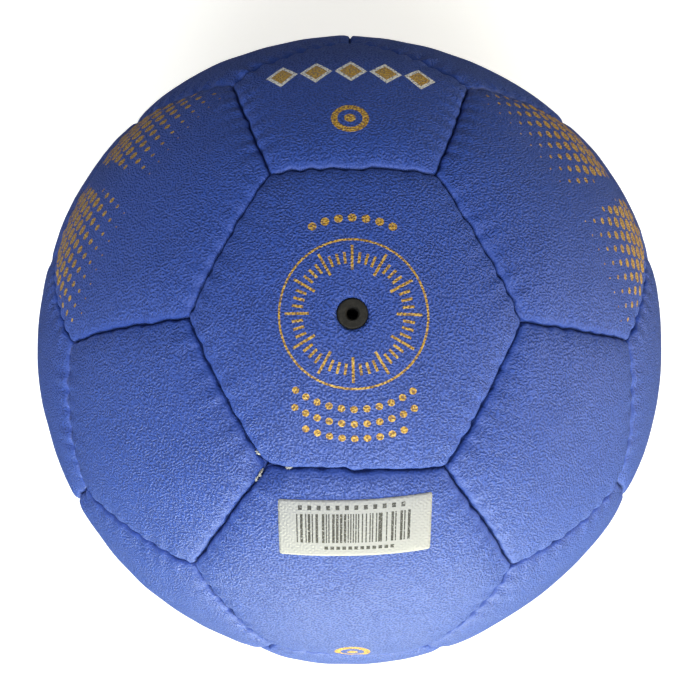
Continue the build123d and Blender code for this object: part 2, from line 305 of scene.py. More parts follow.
# ---- one panel ---------------------------------------------------------------------------------
class Panel:
    def __init__(self, name, node, centre, count):
        self.name, self.node = name, node
        self.c = centre
        self.m = count
        self.ring = ring_of(centre, count)
        first = corners[self.ring[0]]
        self.u = unit(first - (first @ centre) * centre)
        self.v = np.cross(centre, self.u)
        self.rho = math.tan(math.acos(float(first @ centre)))
        self.A = self.rho * math.cos(math.pi / count)
        self.per_mm = (1 + self.A**2) / R  # plane units for a millimetre near the rim
        rng = np.random.default_rng([5, *self.ring])
        self.round = CORNER + rng.uniform(-0.35, 0.5, count)
        self.tone = rng.normal(0, 1)
        self.seed = rng.uniform(0, 60, 3)
        if OPEN_CORNER in self.ring:
            self.round[self.ring.index(OPEN_CORNER)] = 5.5 if centre[2] > 0.99 else 2.6
        self.seams = []
        for i in range(count):
            a, b = self.ring[i], self.ring[(i + 1) % count]
            seam = seam_of(a, b)
            way = 1 if a == seam.a else -1
            inside = 1 if centre @ seam.normal > 0 else -1
            self.seams.append((seam, way, inside))
        phi = (2 * np.arange(count) + 1) * math.pi / count
        self.N = np.stack([np.cos(phi), np.sin(phi)], 1)
        self.T = np.stack([-np.sin(phi), np.cos(phi)], 1)
        # axes of the print: y runs away from the valve
        away = np.array([0.0, 1.0, 0.0]) if centre[2] > 0.99 else centre * centre[2] - [0, 0, 1]
        self.py = unit(away - (away @ centre) * centre)
        self.px = np.cross(self.py, centre)

    def dirs(self, q):
        d = self.c + q[:, :1] * self.u + q[:, 1:] * self.v
        return d / np.linalg.norm(d, axis=1, keepdims=True)

    def flat(self, dirs):
        """Plane coordinates of directions."""
        k = dirs @ self.c
        return np.stack([dirs @ self.u / k, dirs @ self.v / k], 1)

    def edges(self, q):
        wide = np.sqrt(1 + (q**2).sum(1, keepdims=True))
        e = R * (self.A - q @ self.N.T) / (math.sqrt(1 + self.A**2) * wide)
        s = R * np.arctan((q @ self.T.T) / math.sqrt(1 + self.A**2))
        return e, s

    def retreat(self, q, pull=1.0):
        """How the sewing draws the rim sideways, as a move on the plane."""
        e, s = self.edges(q)
        move = np.zeros_like(q)
        for i, (seam, way, inside) in enumerate(self.seams):
            along = s[:, i] * way
            near = np.exp(-((np.maximum(e[:, i], 0) / 3.2) ** 2))
            tight = np.exp(-((np.maximum(e[:, i], 0) / 1.1) ** 2))
            mm = inside * seam.wander(along) * near
            mm += 0.17 * pull * seam.pucker * seam.stitch(along) * tight
            mm += 0.16 * pull * seam.opening(along) * np.exp(-((np.maximum(e[:, i], 0) / 2.0) ** 2))
            move -= self.N[i] * (mm * self.per_mm)[:, None]
        return move

    def height(self, q):
        e, s = self.edges(q)
        e = np.maximum(e, 0)
        soft = -1.4 * np.log(np.exp(-e / 1.4).sum(1))
        h = -PILLOW * np.exp(-np.maximum(soft, 0) / PILLOW_L)
        bulge = np.full(len(q), BULGE)
        if self.c[2] > 0.99:
            # the valve holds its panel down
            bulge -= BULGE * np.exp(-((R * np.hypot(q[:, 0], q[:, 1]) / 11.0) ** 2))
        h += bulge
        h += out_of_round(self.dirs(q)) * (1 - 0.45 * np.exp(-np.maximum(soft, 0) / 3.0))
        for i, (seam, way, inside) in enumerate(self.seams):
            along, d = s[:, i] * way, e[:, i]
            h -= 0.36 * seam.pucker * seam.stitch(along) * np.exp(-d / 1.25)
            h += 0.22 * seam.pucker * seam.between(along) * (d / 1.7) * np.exp(1 - d / 1.7)
            h += 1.1 * seam.flush * np.exp(-d / PILLOW_L) * np.clip(1 - (along / seam.half) ** 4, 0, 1)
            side = 0 if inside > 0 else 1
            h += 0.11 * seam.gathers(along, d, side)
            h += 0.17 * seam.pucker * seam.lumps(along, d, side)
            if self.c[2] < 0.99:
                h -= 0.5 * seam.opening(along) * np.exp(-((d / 3.0) ** 2))
        return h + waves(self.dirs(q))

    def corner_path(self, apothem, radii, k):
        """k equal steps along each side of a polygon with rounded corners."""
        m = self.m
        rho = apothem / math.cos(math.pi / m)
        a = 2 * math.pi * np.arange(m) / m
        side = 2 * rho * math.sin(math.pi / m)
        half = math.pi / m
        radii = np.minimum(radii, 0.45 * side / math.tan(half))
        nxt = np.roll(radii, -1)
        arc0, arc1 = radii * half, nxt * half
        run = side - (radii + nxt) * math.tan(half)
        total = arc0 + run + arc1
        at = np.arange(k) / k * total[:, None]
        C = rho * np.stack([np.cos(a), np.sin(a)], 1)
        O0 = C * (1 - radii / math.cos(half) / rho)[:, None]
        C1 = np.roll(C, -1, 0)
        O1 = C1 * (1 - nxt / math.cos(half) / rho)[:, None]
        safe0, safe1 = np.maximum(radii, 1e-9), np.maximum(nxt, 1e-9)
        g0 = a[:, None] + np.minimum(at, arc0[:, None]) / safe0[:, None]
        p0 = O0[:, None] + radii[:, None, None] * np.stack([np.cos(g0), np.sin(g0)], 2)
        start = C + self.T * (radii * math.tan(half))[:, None]
        p1 = start[:, None] + self.T[:, None] * (at - arc0[:, None])[:, :, None]
        past = np.maximum(at - (arc0 + run)[:, None], 0)
        g1 = (a + half)[:, None] + past / safe1[:, None]
        p2 = O1[:, None] + nxt[:, None, None] * np.stack([np.cos(g1), np.sin(g1)], 2)
        first = at <= arc0[:, None]
        last = at >= (arc0 + run)[:, None]
        out = np.where(first[..., None], p0, np.where(last[..., None], p2, p1))
        return out.reshape(-1, 2)

    def lattice(self, n, k0, edge_in, roll_steps):
        """Plane points of rings k0..n and the drop of each. edge_in: inset of the rim."""
        drops, points = [], []
        rim = edge_in + (ROLL if roll_steps else 0)
        flat_n = n - roll_steps
        top = self.A - rim * self.per_mm
        hole = math.tan(HOLE_R / R) if k0 else 0.0
        for k in range(k0, n + 1):
            if k > flat_n:
                theta = math.radians(90 * (k - flat_n) / roll_steps)
                e = edge_in + ROLL * (1 - math.sin(theta))
                drop = ROLL * (1 - math.cos(theta))
                apothem = self.A - e * self.per_mm
            else:
                apothem = hole + (top - hole) * (k - k0) / (flat_n - k0)
                drop = 0.0
            if k == 0:
                points.append(np.zeros((1, 2)))
                drops.append(np.zeros(1))
                continue
            inset = (self.A - apothem) / self.per_mm - edge_in
            radii = np.maximum(self.round - inset, 0) * self.per_mm
            ring = self.corner_path(apothem, radii, k)
            if k0:
                t = np.clip((k - k0) / (0.4 * (flat_n - k0)), 0, 1)
                t = t * t * (3 - 2 * t)
                g = 2 * math.pi * np.arange(self.m * k) / (self.m * k)
                circle = apothem * np.stack([np.cos(g), np.sin(g)], 1)
                ring = circle * (1 - t) + ring * t
            points.append(ring)
            drops.append(np.full(len(ring), drop))
        return np.concatenate(points), np.concatenate(drops)


def lattice_faces(m, n, k0, start):
    """Triangles between rings k0..n, and the first vertex of each ring."""
    first, at = {}, start
    for k in range(k0, n + 1):
        first[k] = at
        at += max(1, m * k)
    faces = []
    for k in range(max(k0, 0) + 1, n + 1):
        i, j = np.meshgrid(np.arange(m), np.arange(k), indexing="ij")
        i, j = i.ravel(), j.ravel()
        o0 = first[k] + (i * k + j) % (m * k)
        o1 = first[k] + (i * k + j + 1) % (m * k)
        low = max(1, m * (k - 1))
        p0 = first[k - 1] + (i * (k - 1) + j) % low
        p1 = first[k - 1] + (i * (k - 1) + j + 1) % low
        faces.append(np.stack([p0, o0, o1], 1))
        keep = j < k - 1
        faces.append(np.stack([p0, o1, p1], 1)[keep])
    return np.concatenate(faces), first, at


def band(a, b, count):
    """Triangles between two loops of the same number of vertices, a inside b."""
    i = np.arange(count)
    j = (i + 1) % count
    return np.concatenate(
        [np.stack([a + i, b + i, b + j], 1), np.stack([a + i, b + j, a + j], 1)]
    )


def fan4(fine, coarse, count):
    """Triangles from a loop of 4*count vertices to a loop of count, outside in."""
    j = np.arange(count)
    c0, c1 = coarse + j, coarse + (j + 1) % count
    f = [fine + (4 * j + k) % (4 * count) for k in range(5)]
    return np.concatenate(
        [
            np.stack(t, 1)
            for t in (
                (c0, f[0], f[1]),
                (c0, f[1], f[2]),
                (c0, f[2], c1),
                (c1, f[2], f[3]),
                (c1, f[3], f[4]),
            )
        ]
    )


def write_mesh(name, verts_mm, faces, attributes=(), face_attributes=()):
    mesh = bpy.data.meshes.new(name)
    verts = np.asarray(verts_mm, np.float32) / 1000
    faces = np.asarray(faces, np.int32)
    mesh.vertices.add(len(verts))
    mesh.vertices.foreach_set("co", verts.ravel())
    size = faces.shape[1]
    mesh.loops.add(faces.size)
    mesh.loops.foreach_set("vertex_index", faces.ravel())
    mesh.polygons.add(len(faces))
    mesh.polygons.foreach_set("loop_start", np.arange(len(faces), dtype=np.int32) * size)
    mesh.polygons.foreach_set("use_smooth", np.ones(len(faces), bool))
    mesh.update(calc_edges=True)
    for key, values in attributes:
        values = np.asarray(values, np.float32)
        kind = "FLOAT_VECTOR" if values.ndim == 2 else "FLOAT"
        layer = mesh.attributes.new(key, kind, "POINT")
        layer.data.foreach_set("vector" if values.ndim == 2 else "value", values.ravel())
    for key, values in face_attributes:
        layer = mesh.attributes.new(key, "FLOAT", "FACE")
        layer.data.foreach_set("value", np.asarray(values, np.float32))
    mesh.validate()
    obj = bpy.data.objects.new(name, mesh)
    bpy.context.scene.collection.objects.link(obj)
    return obj


def build_panel(panel):
    m, n = panel.m, RINGS
    valve = panel.c[2] > 0.99
    k0 = HOLE_RING if valve else 0
    cut, drop = panel.lattice(n, k0, GAP, ROLL_STEPS)
    q = cut + panel.retreat(cut)
    h = panel.height(q) - drop
    d = panel.dirs(q)
    radius = R + h
    if valve:
        # the leather turns down a little at the punched hole
        away = R * np.arctan(np.linalg.norm(q, axis=1)) - HOLE_R
        radius = radius - 0.3 * np.exp(-np.maximum(away, 0) / 0.35) + 0.05 * np.exp(
            -(((away - 1.2) / 0.8) ** 2)
        )
    faces, first, at = lattice_faces(m, n, k0, 0)
    verts, plane, faces = [d * radius[:, None]], [cut], [faces]

    def loop(points, r, flat=None):
        nonlocal at
        verts.append(panel.dirs(points) * np.broadcast_to(r, len(points))[:, None])
        plane.append(points if flat is None else flat)
        at += len(points)
        return at - len(points)

    rim = q[first[n] :]
    count = m * n
    last = first[n]
    rim_r = radius[first[n] :]
    # below the roll the turned edges of two panels meet
    meet = panel.corner_path(
        panel.A - TOUCH * panel.per_mm, np.maximum(panel.round - 0.9, 0.3) * panel.per_mm, n
    )
    deep = meet
    meet = meet + panel.retreat(meet, 0.0)
    inward = rim * (1 - 1.45 * panel.per_mm / panel.A)
    for points, r in (
        (0.5 * (rim + meet), rim_r - 0.1),
        (meet, rim_r - 0.22),
        (meet, 0.5 * (rim_r + FLANGE_R)),
        (meet, FLANGE_R + 0.2),
        (meet * (1 - 0.2 * panel.per_mm / panel.A), FLANGE_R),
        (inward, FLANGE_R),
        (inward, SKIN_R - 0.3 + sunk(panel.dirs(inward))),
    ):
        here = loop(points, r, deep)
        faces.append(band(last, here, count))
        last = here
    inner_k0 = k0 // 4
    inner = panel.lattice(INNER_RINGS, inner_k0, GAP + 2.3, 0)[0]
    if valve:
        inner *= 1.0 + 0.25 * np.exp(-((np.linalg.norm(inner, axis=1) * R / 5) ** 2))[:, None]
    inner_first = at
    inner_faces, inner_rings, _ = lattice_faces(m, INNER_RINGS, inner_k0, inner_first)
    loop(inner, SKIN_R + sunk(panel.dirs(inner)))
    faces.append(inner_faces[:, ::-1])
    faces.append(fan4(last, inner_rings[INNER_RINGS], m * INNER_RINGS))
    if valve:
        mouth = q[: m * k0]
        last = 0
        for r in (radius[: m * k0] - 0.25, SKIN_R + 0.3 + sunk(panel.dirs(mouth)), SKIN_R + sunk(panel.dirs(mouth))):
            here = loop(mouth, r)
            faces.append(band(last, here, m * k0)[:, ::-1])
            last = here
        faces.append(fan4(last, inner_rings[inner_k0], m * inner_k0)[:, ::-1])
    verts, plane, faces = np.concatenate(verts), np.concatenate(plane), np.concatenate(faces)
    e, s = panel.edges(plane)
    nearest = np.argmin(e, 1)
    pick = np.arange(len(plane))
    two = np.partition(e, 1, axis=1)
    apart = two[:, 1] - two[:, 0]
    along = s[pick, nearest]
    dirs = panel.dirs(plane)
    stitch = np.zeros(len(plane))
    for i, (seam, way, inside) in enumerate(panel.seams):
        stitch += seam.stitch(s[:, i] * way) * np.exp(-np.maximum(e[:, i], 0) / 1.2)
    angle = np.arccos(np.clip(dirs @ panel.c, -1, 1))
    side_x, side_y = dirs @ panel.px, dirs @ panel.py
    flat = np.maximum(np.hypot(side_x, side_y), 1e-9)
    local = np.stack(
        [R * angle * side_x / flat, R * angle * side_y / flat, np.maximum(e[pick, nearest], 0)], 1
    )
    run = np.stack([along + 97.0 * nearest + 13.0 * panel.seed[0], stitch, apart], 1)
    tone = np.full(len(plane), panel.tone)
    far = np.linalg.norm(verts, axis=1, keepdims=True)
    verts = drifted(verts / far) * far
    obj = write_mesh(panel.name, verts, faces, (("panel", local), ("run", run), ("tone", tone)))
    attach(obj, "ball")
    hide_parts(panel.node)
    return obj


# ---- shader graphs written as sums ----------------------------------------------------------------
class Val:
    def __init__(self, graph, socket):
        self.g, self.s = graph, socket

    def __add__(self, o):
        return self.g.math("ADD", self, o)

    __radd__ = __add__

    def __sub__(self, o):
        return self.g.math("SUBTRACT", self, o)

    def __rsub__(self, o):
        return self.g.math("SUBTRACT", o, self)

    def __mul__(self, o):
        return self.g.math("MULTIPLY", self, o)

    __rmul__ = __mul__

    def __truediv__(self, o):
        return self.g.math("DIVIDE", self, o)

    def __lt__(self, o):
        return self.g.math("LESS_THAN", self, o)

    def __gt__(self, o):
        return self.g.math("GREATER_THAN", self, o)


class Graph:
    def __init__(self, name):
        self.mat = bpy.data.materials.new(name)
        self.mat.use_nodes = True
        self.tree = self.mat.node_tree
        self.tree.nodes.clear()
        self.out = self.node("ShaderNodeOutputMaterial")
        self.bsdf = self.node("ShaderNodeBsdfPrincipled")
        self.tree.links.new(self.bsdf.outputs[0], self.out.inputs["Surface"])

    def node(self, kind, **props):
        made = self.tree.nodes.new(kind)
        for key, value in props.items():
            setattr(made, key, value)
        return made

    def put(self, socket, value):
        if isinstance(value, Val):
            self.tree.links.new(value.s, socket)
        else:
            socket.default_value = value

    def math(self, op, *args):
        made = self.node("ShaderNodeMath", operation=op)
        for socket, value in zip(made.inputs, args):
            self.put(socket, value)
        return Val(self, made.outputs[0])

    def vec(self, x, y, z=0.0):
        made = self.node("ShaderNodeCombineXYZ")
        for socket, value in zip(made.inputs, (x, y, z)):
            self.put(socket, value)
        return Val(self, made.outputs[0])

    def vmath(self, op, a, b):
        made = self.node("ShaderNodeVectorMath", operation=op)
        self.put(made.inputs[0], a)
        self.put(made.inputs["Scale"] if op == "SCALE" else made.inputs[1], b)
        return Val(self, made.outputs[0])

    def parts(self, vector):
        made = self.node("ShaderNodeSeparateXYZ")
        self.put(made.inputs[0], vector)
        return [Val(self, o) for o in made.outputs]

    def attribute(self, name):
        made = self.node("ShaderNodeAttribute", attribute_name=name)
        return Val(self, made.outputs["Vector"])

    def value_attribute(self, name):
        made = self.node("ShaderNodeAttribute", attribute_name=name)
        return Val(self, made.outputs["Fac"])

    def object_mm(self):
        made = self.node("ShaderNodeTexCoord")
        return self.vmath("SCALE", Val(self, made.outputs["Object"]), 1000.0)

    def noise(self, at, scale, detail=0.0, rough=0.5, colour=False):
        made = self.node("ShaderNodeTexNoise", noise_dimensions="3D")
        self.put(made.inputs["Vector"], at)
        made.inputs["Scale"].default_value = scale
        made.inputs["Detail"].default_value = detail
        made.inputs["Roughness"].default_value = rough
        return Val(self, made.outputs["Color" if colour else "Fac"])

    def voronoi(self, at, scale, feature="F1", out="Distance"):
        made = self.node("ShaderNodeTexVoronoi", feature=feature)
        self.put(made.inputs["Vector"], at)
        made.inputs["Scale"].default_value = scale
        return Val(self, made.outputs[out])

    def smooth(self, low, high, x):
        made = self.node("ShaderNodeMapRange", interpolation_type="SMOOTHSTEP", clamp=True)
        self.put(made.inputs["Value"], x)
        made.inputs["From Min"].default_value = low
        made.inputs["From Max"].default_value = high
        return Val(self, made.outputs[0])

    def mix(self, fac, a, b):
        made = self.node("ShaderNodeMix", data_type="RGBA")
        self.put(made.inputs[0], fac)
        self.put(made.inputs[6], a)
        self.put(made.inputs[7], b)
        return Val(self, made.outputs[2])

    def shade(self, colour, by):
        """A colour made brighter or darker by a number."""
        made = self.node("ShaderNodeVectorMath", operation="SCALE")
        self.put(made.inputs[0], colour if isinstance(colour, Val) else colour[:3])
        self.put(made.inputs["Scale"], by)
        return Val(self, made.outputs[0])

    def bump(self, height, distance, strength=1.0, normal=None):
        made = self.node("ShaderNodeBump")
        made.inputs["Strength"].default_value = strength
        made.inputs["Distance"].default_value = distance
        self.put(made.inputs["Height"], height)
        if normal is not None:
            self.put(made.inputs["Normal"], normal)
        return Val(self, made.outputs[0])

    def abs(self, x):
        return self.math("ABSOLUTE", x)

    def max(self, a, b):
        return self.math("MAXIMUM", a, b)

    def min(self, a, b):
        return self.math("MINIMUM", a, b)

    def fract(self, x):
        return self.math("FRACT", x)

    def floor(self, x):
        return self.math("FLOOR", x)


def linear(r, g, b):
    """A screen colour, 0 to 255, as a linear colour with alpha."""
    out = []
    for c in (r, g, b):
        c /= 255
        out.append(c / 12.92 if c <= 0.04045 else ((c + 0.055) / 1.055) ** 2.4)
    return (*out, 1.0)


BLUE = (0.0355, 0.0835, 0.382, 1.0)
GRAIN = 0.67  # from crease to crease
RELIEF = 0.115  # depth of a crease
GOLD = linear(189, 143, 34)
PALE_GOLD = linear(224, 194, 112)
WHITE = linear(246, 246, 244)


def between(g, x, low, high):
    return g.min(x > low, x < high)


def spot(g, x, y, at_x, at_y):
    dx, dy = x - at_x, y - at_y
    return g.math("SQRT", dx * dx + dy * dy)


def dot_grid(g, x, y, pitch):
    """Distance to the nearest point of a staggered grid."""
    row = g.floor(y / pitch + 0.5)
    odd = g.fract(row * 0.5) * 2.0
    u = x / pitch + odd * 0.5
    fx = (g.fract(u + 0.5) - 0.5) * pitch
    fy = y - row * pitch
    return g.math("SQRT", fx * fx + fy * fy)


def ring_dots(g, radius, turn, at_r, pitch, size, middle, each_side):
    """Dots along an arc about the origin, so many each side of its middle angle in degrees."""
    u = (turn - math.radians(middle)) * (at_r / pitch)
    number = g.floor(u + 0.5)
    along = (u - number) * pitch
    off = radius - at_r
    inside = g.math("SQRT", along * along + off * off) < size
    return g.min(inside, g.abs(number) < each_side + 0.5)


def dial_print(g, x, y, e):
    r = g.math("SQRT", x * x + y * y)
    turn = g.math("ARCTAN2", y, x)
    count = 48
    u = turn * (count / (2 * math.pi)) + 0.5
    off = g.abs(g.fract(u) - 0.5) * r * (2 * math.pi / count)
    fourth = g.fract(g.floor(u) * 0.25 + 0.01) < 0.05
    reach = between(g, r, 10.6, 13.1)
    reach = g.max(reach, g.min(fourth, between(g, r, 9.2, 14.6)))
    gold = g.min(off < 0.3, reach)
    gold = g.max(gold, between(g, r, 15.6, 16.1))
    gold = g.max(gold, ring_dots(g, r, turn, 20.8, 3.0, 0.95, 90, 3))
    for at_r, each_side in ((20.2, 5), (23.4, 5), (26.6, 4)):
        gold = g.max(gold, ring_dots(g, r, turn, at_r, 2.6, 0.78, -90, each_side))
    return [(gold, GOLD, PALE_GOLD)]


def badge(g, x, y, at_x, at_y):
    r = spot(g, x, y, at_x, at_y)
    return g.max(between(g, r, 2.9, 4.4), r < 1.35)


def row_print(g, x, y, e):
    u = x / 8.6
    cell = g.fract(u + 0.5) - 0.5
    lozenge = g.abs(cell) * (8.6 / 3.1) + g.abs(y - 5.6) / 3.7
    row = g.abs(x) < 21.5
    white = g.min(lozenge < 1.3, row)
    gold = g.max(g.min(lozenge < 0.9, row), badge(g, x, y, -0.4, -13.3))
    return [(white, WHITE, WHITE), (gold, GOLD, PALE_GOLD)]


def badge_print(g, x, y, e):
    return [(badge(g, x, y, -0.6, 27.0), GOLD, PALE_GOLD)]


def field_print(g, x, y, e):
    """Dots that grow away from the valve, in two fields."""
    d = dot_grid(g, x + y * 0.25, y, 3.7)
    grow = g.smooth(-17.0, 22.0, y)
    left = g.smooth(2.0, 5.0, g.abs(x - 2.0))
    size = (grow * 2.0 - 0.3) * left
    clear = e > 3.2
    return [(g.min(d < size, clear), GOLD, PALE_GOLD)]


def wave_field(g, at, seed, length, count, lean=0.0):
    """Sum of plane waves of nearly one length: the worm-like relief of embossed leather.

    lean turns the waves towards the first axis, 0 for none."""
    rng = np.random.default_rng(seed)
    total = None
    for i in range(count):
        way = math.pi * (i + rng.uniform(0.1, 0.9)) / count
        k = 2 * math.pi / length * rng.uniform(0.66, 1.36)
        kx, ky = k * math.cos(way), k * math.sin(way) * (1 - lean)
        dot = g.node("ShaderNodeVectorMath", operation="DOT_PRODUCT")
        g.put(dot.inputs[0], at)
        dot.inputs[1].default_value = (kx, ky, 0.0)
        one = g.math("SINE", Val(g, dot.outputs["Value"]) + rng.uniform(0, 2 * math.pi))
        total = one if total is None else total + one
    return total * math.sqrt(2 / count)


def leather(name, prints=None):
    g = Graph(name)
    local = g.attribute("panel")
    x, y, e = g.parts(local)
    run, stitch, apart = g.parts(g.attribute("run"))
    tone = g.value_attribute("tone")
    at = g.object_mm()
    bend = g.vmath("SUBTRACT", g.noise(at, 0.36, 1.0, colour=True), (0.5, 0.5, 0.5))
    bent = g.vmath("ADD", local, g.vmath("SCALE", bend, 2.2))
    field = wave_field(g, bent, 3, GRAIN, 9)
    # near a seam the relief is drawn out across it
    bx, by, bz = g.parts(bend)
    drawn = wave_field(g, g.vec(run + bx * 2.2, e + by * 2.0), 8, GRAIN * 0.88, 7, 0.45)
    jog = g.noise(at, 0.16, 1.0)
    where = g.smooth(13.0, 3.0, e + (jog - 0.5) * 12.0) * g.smooth(0.4, 3.0, apart) * 0.7
    field = field + (drawn - field) * where
    # pebbles of uneven size break the folds up
    field = field * 0.66 + (g.noise(at, 2.05, 0.0) - 0.5) * 5.2
    plain = g.smooth(0.5, 2.3, e)  # the stretched edge is smoother
    amount = plain * 0.6 + 0.4
    patch = g.noise(at, 0.05, 2.0, 0.5)
    lively = (0.75 + g.noise(at, 0.11, 1.0) * 0.5) * amount
    crease = g.smooth(0.0, -1.25, field) * lively
    crest = g.smooth(0.0, 1.4, field) * lively
    fine = g.noise(at, 3.6, 2.0, 0.6)
    height = crest * 0.087 - crease * RELIEF + fine * 0.02 * amount
    # painted shade and highlight: creases are darker and crests lighter in the colour, standing in for the shading of
    # the grain relief; the colour is also a little lighter at the turned edge by the seam, a painted highlight
    colour = g.shade(
        BLUE,
        1.02
        - crease * 0.27
        + crest * 0.205
        + (fine - 0.5) * 0.1
        + (patch - 0.5) * 0.14
        + tone * 0.022
        + (1.0 - plain) * 0.03,
    )
    rough = 0.48 + crease * 0.16 - crest * 0.06 + (fine - 0.5) * 0.1 + (1.0 - plain) * 0.1
    if prints:
        worn = (g.smooth(0.26, 0.36, g.noise(at, 0.9, 3.0, 0.75)) * 0.5 + 0.5) * (1.0 - crease * 0.3)
        # painted highlight: the ink turns towards its paler tone on crests and in scattered glints; painted shade: the
        # ink is darker in creases
        glint = g.smooth(0.45, 0.75, g.noise(at, 1.9, 2.0, 0.6)) * 0.5 + crest * 0.5
        for mask, ink, bright in prints(g, x, y, e):
            tint = g.shade(g.mix(glint, ink, bright), 0.98 - crease * 0.4)
            colour = g.mix(mask * worn, colour, tint)
    # painted shade: the colour is darkened deep in the seam, where the groove lies in shadow
    deep = g.smooth(0.4, 0.12, e)
    colour = g.shade(colour, 1.0 - deep * 0.5)
    g.put(g.bsdf.inputs["Base Color"], colour)
    g.put(g.bsdf.inputs["Roughness"], rough)
    g.bsdf.inputs["Specular IOR Level"].default_value = 0.42
    g.put(g.bsdf.inputs["Normal"], g.bump(height, 0.001, 1.0))
    return g.mat


def plain_material(name, colour, rough, scale, depth, specular=0.4, weave=False):
    """Matt material of a hidden layer: mottled, with a fine grain or a weave."""
    g = Graph(name)
    at = g.object_mm()
    tone = g.noise(at, scale * 0.15, 2.0)
    if weave:
        x, y, z = g.parts(at)
        warp = g.math("SINE", (x + y * 0.31) * (math.pi * scale))
        weft = g.math("SINE", (z + y * 0.27) * (math.pi * scale))
        grain = warp * weft * 0.5 + 0.5
    else:
        grain = g.noise(at, scale, 3.0, 0.6)
    g.put(
        g.bsdf.inputs["Base Color"],
        g.shade(colour, 0.82 + tone * 0.24 + grain * 0.12),
    )
    g.put(g.bsdf.inputs["Roughness"], rough + (grain - 0.5) * 0.12)
    g.bsdf.inputs["Specular IOR Level"].default_value = specular
    g.put(g.bsdf.inputs["Normal"], g.bump(grain, depth, 0.8))
    return g.mat


def thread_material():
    g = Graph("waxed_thread")
    at = g.object_mm()
    fibre = g.noise(g.vmath("MULTIPLY", at, (3.0, 3.0, 3.0)), 2.2, 2.0, 0.6)
    soil = g.noise(at, 0.8, 2.0)
    colour = g.mix(g.smooth(0.35, 0.75, soil), linear(206, 206, 198), linear(172, 170, 160))
    g.put(g.bsdf.inputs["Base Color"], g.shade(colour, 0.85 + fibre * 0.25))
    g.put(g.bsdf.inputs["Roughness"], 0.62 + (fibre - 0.5) * 0.2)
    g.bsdf.inputs["Specular IOR Level"].default_value = 0.4
    g.put(g.bsdf.inputs["Normal"], g.bump(fibre, 0.00006, 0.9))
    return g.mat


def valve_material():
    g = Graph("valve_rubber")
    at = g.object_mm()
    fine = g.noise(at, 5.0, 3.0, 0.65)
    dust = g.noise(at, 0.9, 3.0, 0.6)
    x, y, z = g.parts(at)
    r = g.math("SQRT", x * x + y * y)
    # painted shade: the colour darkens in the needle hole in the middle, where shade falls
    inside = g.smooth(1.75, 1.15, r)
    tone = g.mix(g.smooth(0.42, 0.7, dust), linear(33, 32, 29), linear(46, 44, 40))
    tone = g.shade(tone, (0.85 + fine * 0.3) * (1.0 - inside * 0.75))
    g.put(g.bsdf.inputs["Base Color"], tone)
    g.put(g.bsdf.inputs["Roughness"], 0.68 + (fine - 0.5) * 0.2)
    g.bsdf.inputs["Specular IOR Level"].default_value = 0.3
    g.put(g.bsdf.inputs["Normal"], g.bump(fine, 0.00008, 0.8))
    return g.mat


def label_material():
    g = Graph("paper_label")
    ink = g.value_attribute("ink")
    at = g.object_mm()
    fibre = g.noise(at, 4.0, 3.0, 0.65)
    patch = g.noise(at, 0.25, 2.0)
    paper = g.shade(linear(160, 162, 166), 0.93 + fibre * 0.08 + (patch - 0.5) * 0.08)
    worn = g.smooth(0.31, 0.45, g.noise(at, 2.4, 3.0, 0.72)) * 0.96
    colour = g.mix(ink * worn, paper, linear(34, 34, 33))
    g.put(g.bsdf.inputs["Base Color"], colour)
    g.put(g.bsdf.inputs["Roughness"], 0.5 + (fibre - 0.5) * 0.15)
    g.bsdf.inputs["Specular IOR Level"].default_value = 0.4
    # the leather's grain shows through the thin paper
    under = wave_field(g, at, 3, GRAIN, 9)
    g.put(g.bsdf.inputs["Normal"], g.bump(under * 0.019 + fibre * 0.03, 0.001, 1.0))
    return g.mat


# ---- build the cover -----------------------------------------------------------------------------------
plain_leather = leather("blue_leather")
dial_leather = leather("blue_leather_dial", dial_print)
row_leather = leather("blue_leather_row", row_print)
badge_leather = leather("blue_leather_badge", badge_print)
field_leather = leather("blue_leather_dots", field_print)

panels = {}
for i, centre in enumerate(hexes):
    name = "valve_skin" if i == 0 else "hex_skin_%02d" % (i + 1)
    node = "valve_panel" if i == 0 else "hex_panel_%02d" % (i + 1)
    panels[node] = Panel(name, node, centre, 6)
for i, centre in enumerate(pents):
    node = "pent_panel_%02d" % (i + 1)
    panels[node] = Panel("pent_skin_%02d" % (i + 1), node, centre, 5)

SPECIAL = {
    "valve_panel": dial_leather,
    "pent_panel_01": row_leather,
    "hex_panel_04": badge_leather,
    "hex_panel_02": field_leather,
    "hex_panel_03": field_leather,
    "hex_panel_17": field_leather,
    "hex_panel_18": field_leather,
    "pent_panel_12": row_leather,
}
for node, panel in panels.items():
    skin = build_panel(panel)
    skin.data.materials.append(SPECIAL.get(node, plain_leather))


